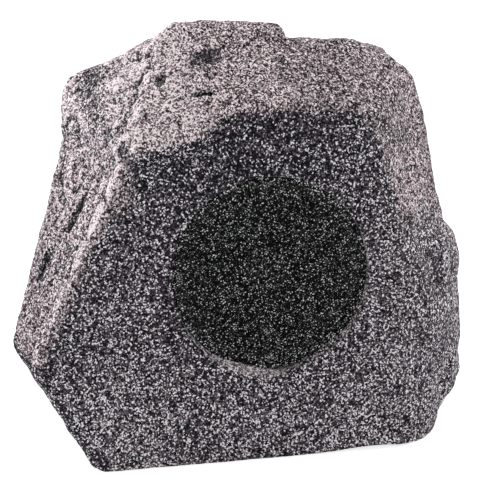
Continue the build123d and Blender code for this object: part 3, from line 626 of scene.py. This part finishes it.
def coat_solids(material, *names):
    """Gives solids that are shown as they are their finish."""
    for name in names:
        solids[name].data.materials.clear()
        solids[name].data.materials.append(material)


coat_solids(foam, "driver_seal", "base_gasket")

# Screws, the magnet's plates and the tweeter's post: turned or pressed steel, zinc plated.
# Zinc plate: a grey metal with a faint blue and yellow bloom and a soft, slightly streaky shine.
zinc, tree, shader, place = new_finish("zinc_plated_steel", 0.38, metallic=1.0)
bloom = add_node(tree, "TexNoise", {"Scale": 1 / (6 * MM), "Detail": 4.0}, {"Vector": place})
zinc_tones = [(0.3, "#a9adb5"), (0.5, "#c4c5c6"), (0.7, "#cfc9b6")]
zinc_mix = add_node(tree, "ValToRGB", {"stops": zinc_tones}, {0: bloom.outputs[0]})
tree.links.new(zinc_mix.outputs[0], shader.inputs["Base Color"])
shine = add_node(tree, "MapRange", {"To Min": 0.28, "To Max": 0.5}, {"Value": bloom.outputs[0]})
tree.links.new(shine.outputs[0], shader.inputs["Roughness"])
coat_solids(zinc, "driver_screws", "base_screws", "board_screws", "top_plate", "yoke", "tweeter_post")

# Basket: the loudspeaker's frame, pressed from steel sheet and powder coated, screwed to the seat.
# Powder coat: black with a low sheen and the fine ripple of baked powder, about a millimetre across.
powder, tree, shader, place = new_finish("black_powder_coat", 0.45)
ripple = add_node(tree, "TexNoise", {"Scale": 1 / (1.2 * MM), "Detail": 2.0}, {"Vector": place})
powder_tones = [(0.35, "#1a1a1c"), (0.65, "#232326")]
powder_mix = add_node(tree, "ValToRGB", {"stops": powder_tones}, {0: ripple.outputs[0]})
tree.links.new(powder_mix.outputs[0], shader.inputs["Base Color"])
relief = add_node(tree, "Bump", {"Strength": 0.3, "Distance": 0.1 * MM}, {"Height": ripple.outputs[0]})
tree.links.new(relief.outputs[0], shader.inputs["Normal"])
coat_solids(powder, "basket")

# Surround, feet and the gland's seals: moulded rubber, glued, pushed in or clamped.
# Moulded rubber: soft black that greys slightly with bloom, with a fine grain from the mould.
rubber, tree, shader, place = new_finish("moulded_rubber", 0.8)
haze = add_node(tree, "TexNoise", {"Scale": 1 / (7 * MM), "Detail": 5.0}, {"Vector": place})
rubber_tones = [(0.35, "#161616"), (0.7, "#242424")]
rubber_mix = add_node(tree, "ValToRGB", {"stops": rubber_tones}, {0: haze.outputs[0]})
tree.links.new(rubber_mix.outputs[0], shader.inputs["Base Color"])
grit = add_node(tree, "TexNoise", {"Scale": 1 / (0.8 * MM), "Detail": 2.0}, {"Vector": place})
relief = add_node(tree, "Bump", {"Strength": 0.25, "Distance": 0.1 * MM}, {"Height": grit.outputs[0]})
tree.links.new(relief.outputs[0], shader.inputs["Normal"])
coat_solids(rubber, "surround", "feet", "gland_washer", "gland_seal")

# Cone: pressed from mica-filled polypropylene sheet, glued to the former and the surround.
# Filled polypropylene: nearly black, slightly waxy, with tiny glints of mica drawn at 1.5 mm.
cone_sheet, tree, shader, place = new_finish("mica_filled_polypropylene", 0.5, ior=1.49)
mica = add_node(tree, "TexVoronoi", {"Scale": 1 / (1.5 * MM)}, {"Vector": place})
cone_tones = [(0.0, "#131315"), (0.85, "#1a1a1c"), (1.0, "#343438")]
cone_mix = add_node(tree, "ValToRGB", {"stops": cone_tones}, {0: mica.outputs["Color"]})
tree.links.new(cone_mix.outputs[0], shader.inputs["Base Color"])
coat_solids(cone_sheet, "cone")

# Former and windings: a foil tube with the voice coil, and the choke's coil, wound from enamelled wire.
# Rolled aluminium: bright with fine rolling lines. Enamelled copper: red-brown turns side by side, drawn at
# 0.8 mm, about twice the wire. At a scale of 1, a wave texture's bands repeat after 0.314.
foil, tree, shader, place = new_finish("rolled_aluminium_foil", 0.3, metallic=1.0)
lines = add_node(tree, "TexNoise", {"Scale": 1 / (2 * MM), "Detail": 3.0}, {"Vector": place})
foil_tones = [(0.3, "#bfc1c4"), (0.7, "#dcdddf")]
foil_mix = add_node(tree, "ValToRGB", {"stops": foil_tones}, {0: lines.outputs[0]})
tree.links.new(foil_mix.outputs[0], shader.inputs["Base Color"])
coat_solids(foil, "former")
band_repeat = 0.314
wire_tones = [(0.1, "#6e3a22"), (0.8, "#c07a4e")]
for name, turns, node in (("voice_coil_wire", "Y", "voice_coil"), ("choke_wire", "Z", "choke_winding")):
    copper, tree, shader, place = new_finish(name, 0.35, metallic=1.0)
    wire = add_node(
        tree,
        "TexWave",
        {"bands_direction": turns, "Scale": band_repeat / (0.8 * MM), "Distortion": 0.4},
        {"Vector": place},
    )
    wire_mix = add_node(tree, "ValToRGB", {"stops": wire_tones}, {0: wire.outputs[0]})
    tree.links.new(wire_mix.outputs[0], shader.inputs["Base Color"])
    relief = add_node(tree, "Bump", {"Strength": 0.6, "Distance": 0.2 * MM}, {"Height": wire.outputs[0]})
    tree.links.new(relief.outputs[0], shader.inputs["Normal"])
    coat_solids(copper, node)

# Spider: a ring of cotton cloth dipped in resin and pressed into waves, glued to the basket and the former.
# Dipped cloth: amber-brown with an open plain weave, drawn at 1 mm.
cloth, tree, shader, place = new_finish("resin_dipped_cloth", 0.75)
thread_scale = band_repeat / (1 * MM)
warp = add_node(tree, "TexWave", {"bands_direction": "X", "Scale": thread_scale}, {"Vector": place})
weft = add_node(tree, "TexWave", {"bands_direction": "Z", "Scale": thread_scale}, {"Vector": place})
weave = add_node(tree, "Math", {"operation": "MULTIPLY"}, {0: warp.outputs["Fac"], 1: weft.outputs["Fac"]})
cloth_tones = [(0.1, "#8a6a35"), (0.8, "#d3b577")]
cloth_mix = add_node(tree, "ValToRGB", {"stops": cloth_tones}, {0: weave.outputs[0]})
tree.links.new(cloth_mix.outputs[0], shader.inputs["Base Color"])
relief = add_node(tree, "Bump", {"Strength": 0.5, "Distance": 0.2 * MM}, {"Height": weave.outputs[0]})
tree.links.new(relief.outputs[0], shader.inputs["Normal"])
coat_solids(cloth, "spider")

# Magnet: a ring of sintered ferrite, ground on its flats and glued between the plates.
# Sintered ferrite: charcoal grey with a grainy, slightly sparkling break.
ferrite, tree, shader, place = new_finish("sintered_ferrite", 0.55)
crystals = add_node(tree, "TexNoise", {"Scale": 1 / (0.9 * MM), "Detail": 6.0}, {"Vector": place})
ferrite_tones = [(0.35, "#2b2b2d"), (0.6, "#3f3f41"), (0.75, "#5c5c5e")]
ferrite_mix = add_node(tree, "ValToRGB", {"stops": ferrite_tones}, {0: crystals.outputs[0]})
tree.links.new(ferrite_mix.outputs[0], shader.inputs["Base Color"])
coat_solids(ferrite, "magnet")

# Tweeter's housing, the choke's bobbin and the base plate: injection moulded in black ABS.
# Textured ABS: black with the even fine grain of a spark-eroded mould, drawn at 1 mm.
abs_plastic, tree, shader, place = new_finish("textured_black_abs", 0.55, ior=1.54)
spark = add_node(tree, "TexNoise", {"Scale": 1 / (1.0 * MM), "Detail": 3.0}, {"Vector": place})
abs_tones = [(0.3, "#1b1b1c"), (0.7, "#272729")]
abs_mix = add_node(tree, "ValToRGB", {"stops": abs_tones}, {0: spark.outputs[0]})
tree.links.new(abs_mix.outputs[0], shader.inputs["Base Color"])
relief = add_node(tree, "Bump", {"Strength": 0.35, "Distance": 0.1 * MM}, {"Height": spark.outputs[0]})
tree.links.new(relief.outputs[0], shader.inputs["Normal"])
coat_solids(abs_plastic, "tweeter_body", "choke_bobbin", "base_plate")

# Tweeter's dome: formed from thin polyester film, glued in the housing.
# Polyester film: smoky and glossy with the slight cloudiness of heat forming.
film, tree, shader, place = new_finish("formed_polyester_film", 0.2, ior=1.57)
cloud = add_node(tree, "TexNoise", {"Scale": 1 / (4 * MM), "Detail": 2.0}, {"Vector": place})
film_tones = [(0.3, "#3c3c40"), (0.7, "#4c4c51")]
film_mix = add_node(tree, "ValToRGB", {"stops": film_tones}, {0: cloud.outputs[0]})
tree.links.new(film_mix.outputs[0], shader.inputs["Base Color"])
coat_solids(film, "tweeter_dome")

# Tag strip and crossover board: punched from phenolic paper laminate, riveted or screwed down.
# Phenolic paper: tan brown with faint fibres in the sheet and a satin face.
laminate, tree, shader, place = new_finish("phenolic_paper_laminate", 0.5, ior=1.55)
fibres = add_node(
    tree, "TexNoise", {"Scale": 1 / (3 * MM), "Detail": 6.0, "Roughness": 0.7}, {"Vector": place}
)
laminate_tones = [(0.3, "#9a713e"), (0.7, "#bb9157")]
laminate_mix = add_node(tree, "ValToRGB", {"stops": laminate_tones}, {0: fibres.outputs[0]})
tree.links.new(laminate_mix.outputs[0], shader.inputs["Base Color"])
coat_solids(laminate, "terminal_strip", "crossover_board")

# Solder tags: stamped from brass strip, dipped in tin and riveted to their strip.
# Hot-dipped tin: a pale grey metal, bright and a little cloudy.
tin, tree, shader, place = new_finish("tinned_brass", 0.35, metallic=1.0)
dip = add_node(tree, "TexNoise", {"Scale": 1 / (2 * MM), "Detail": 3.0}, {"Vector": place})
tin_tones = [(0.3, "#c9c5b8"), (0.7, "#dedcd5")]
tin_mix = add_node(tree, "ValToRGB", {"stops": tin_tones}, {0: dip.outputs[0]})
tree.links.new(tin_mix.outputs[0], shader.inputs["Base Color"])
coat_solids(tin, "solder_tags")

# Resistor: a wire winding cast into a ceramic box with cement, soldered to the board.
# Glazeless ceramic: chalky off-white with fine pores.
ceramic, tree, shader, place = new_finish("cement_filled_ceramic", 0.85)
pores = add_node(tree, "TexNoise", {"Scale": 1 / (0.9 * MM), "Detail": 4.0}, {"Vector": place})
ceramic_tones = [(0.3, "#c9c6bd"), (0.6, "#ebe8e0")]
ceramic_mix = add_node(tree, "ValToRGB", {"stops": ceramic_tones}, {0: pores.outputs[0]})
tree.links.new(ceramic_mix.outputs[0], shader.inputs["Base Color"])
coat_solids(ceramic, "resistor")

# Terminal block: moulded in green polyamide and soldered to the board.
# Moulded polyamide: an even green with faint flow marks and a soft gloss.
polyamide, tree, shader, place = new_finish("green_moulded_polyamide", 0.4, ior=1.53)
flow = add_node(tree, "TexNoise", {"Scale": 1 / (5 * MM), "Detail": 2.0}, {"Vector": place})
polyamide_tones = [(0.3, "#22693b"), (0.7, "#2f7f4b")]
polyamide_mix = add_node(tree, "ValToRGB", {"stops": polyamide_tones}, {0: flow.outputs[0]})
tree.links.new(polyamide_mix.outputs[0], shader.inputs["Base Color"])
coat_solids(polyamide, "terminal_block")

# Capacitors: film windings in a shrunk sleeve, glued down on the board.
# PVC sleeve: deep blue and glossy, with faint shrink ripples.
sleeve, tree, shader, place = new_finish("blue_shrink_sleeve", 0.25, ior=1.53)
shrink = add_node(tree, "TexNoise", {"Scale": 1 / (4 * MM), "Detail": 2.0}, {"Vector": place})
sleeve_tones = [(0.3, "#1c2f66"), (0.7, "#27407f")]
sleeve_mix = add_node(tree, "ValToRGB", {"stops": sleeve_tones}, {0: shrink.outputs[0]})
tree.links.new(sleeve_mix.outputs[0], shader.inputs["Base Color"])
relief = add_node(tree, "Bump", {"Strength": 0.2, "Distance": 0.2 * MM}, {"Height": shrink.outputs[0]})
tree.links.new(relief.outputs[0], shader.inputs["Normal"])
coat_solids(sleeve, "woofer_capacitor", "tweeter_capacitor")

# Cable gland low in the back: body through the wall, nut inside, cap outside, all moulded in nylon.
# Moulded nylon: black with a soft sheen and a very fine grain, drawn at 0.9 mm.
nylon, tree, shader, place = new_finish("black_moulded_nylon", 0.42, ior=1.53)
grain = add_node(tree, "TexNoise", {"Scale": 1 / (0.9 * MM), "Detail": 3.0}, {"Vector": place})
nylon_tones = [(0.3, "#1f1f20"), (0.7, "#2c2c2d")]
nylon_mix = add_node(tree, "ValToRGB", {"stops": nylon_tones}, {0: grain.outputs[0]})
tree.links.new(nylon_mix.outputs[0], shader.inputs["Base Color"])
relief = add_node(tree, "Bump", {"Strength": 0.2, "Distance": 0.1 * MM}, {"Height": grain.outputs[0]})
tree.links.new(relief.outputs[0], shader.inputs["Normal"])
coat_solids(nylon, "gland_body", "gland_cap", "gland_nut")

# Studio floor: a pale sheet of paper that carries the rock's shadow. Where it is seen directly, in a
# reflection or through glass, it glows enough to look white.
floor_half = 9
floor_mesh = bpy.data.meshes.new("floor")
floor_corners = [
    (-floor_half, -floor_half, 0),
    (floor_half, -floor_half, 0),
    (floor_half, floor_half, 0),
    (-floor_half, floor_half, 0),
]
floor_mesh.from_pydata(floor_corners, [], [(0, 1, 2, 3)])
floor = bpy.data.objects.new("floor", floor_mesh)
bpy.context.scene.collection.objects.link(floor)


def seen_directly(tree):
    """1 for rays that come from the camera, a reflection or glass, and 0 for light on the object."""
    ray = add_node(tree, "LightPath").outputs
    mirrored = {0: ray["Is Camera Ray"], 1: ray["Is Glossy Ray"]}
    straight = add_node(tree, "Math", {"operation": "MAXIMUM"}, mirrored)
    through = {0: straight.outputs[0], 1: ray["Is Transmission Ray"]}
    return add_node(tree, "Math", {"operation": "MAXIMUM"}, through).outputs[0]


paper, tree, shader, place = new_finish("white_paper_floor", 0.9)
shader.inputs["Base Color"].default_value = srgb("#d8d8d8")
glow = add_node(tree, "Math", {"operation": "MULTIPLY", 1: 0.75}, {0: seen_directly(tree)})
shader.inputs["Emission Color"].default_value = srgb("#ffffff")
tree.links.new(glow.outputs[0], shader.inputs["Emission Strength"])
floor_mesh.materials.append(paper)

# Studio light: a large soft box above and behind the rock, so that its top is bright and its face is lit
# from the floor, one soft box at each side, and a low even fill. The camera sees a white room. Each box has
# its place, its aim, its width and height, and its power in watts.
lamps = {
    "top_box": ((0.05, 0.55, 1.45), (0, 0, 0.2), (1.5, 1.1), 6.5),
    "left_box": ((-1.45, 0.35, 0.55), (-0.1, 0, 0.2), (0.9, 0.9), 10.0),
    "right_box": ((1.45, 0.3, 0.55), (0.1, 0, 0.2), (0.9, 0.9), 8.0),
}
for name, (spot, aim, size, power) in lamps.items():
    lamp = bpy.data.lights.new(name, "AREA")
    lamp.shape = "RECTANGLE"
    lamp.size, lamp.size_y = size
    lamp.energy = power
    box = bpy.data.objects.new(name, lamp)
    box.location = spot
    box.rotation_euler = (Vector(aim) - Vector(spot)).to_track_quat("-Z", "Y").to_euler()
    bpy.context.scene.collection.objects.link(box)
world = bpy.data.worlds.new("white_room")
world.use_nodes = True
bpy.context.scene.world = world
tree = world.node_tree
fill = tree.nodes["Background"]
fill_level = add_node(tree, "MapRange", {"To Min": 0.68, "To Max": 1.0}, {"Value": seen_directly(tree)})
fill.inputs["Color"].default_value = srgb("#ffffff")
tree.links.new(fill_level.outputs[0], fill.inputs["Strength"])

# Camera: a long lens about a metre and a half in front of the rock, a little to the left and above.
lens = bpy.data.cameras.new("camera")
lens.lens = 127.5
lens.sensor_width = 36
camera = bpy.data.objects.new("camera", lens)
camera.location = (-0.27646, -1.51596, 0.69240)
camera_aim = Vector((-0.0075, -0.13231, 0.1801))
camera.rotation_euler = (camera_aim - camera.location).to_track_quat("-Z", "Y").to_euler()
bpy.context.scene.collection.objects.link(camera)
bpy.context.scene.camera = camera
bpy.context.scene.view_settings.view_transform = "Standard"
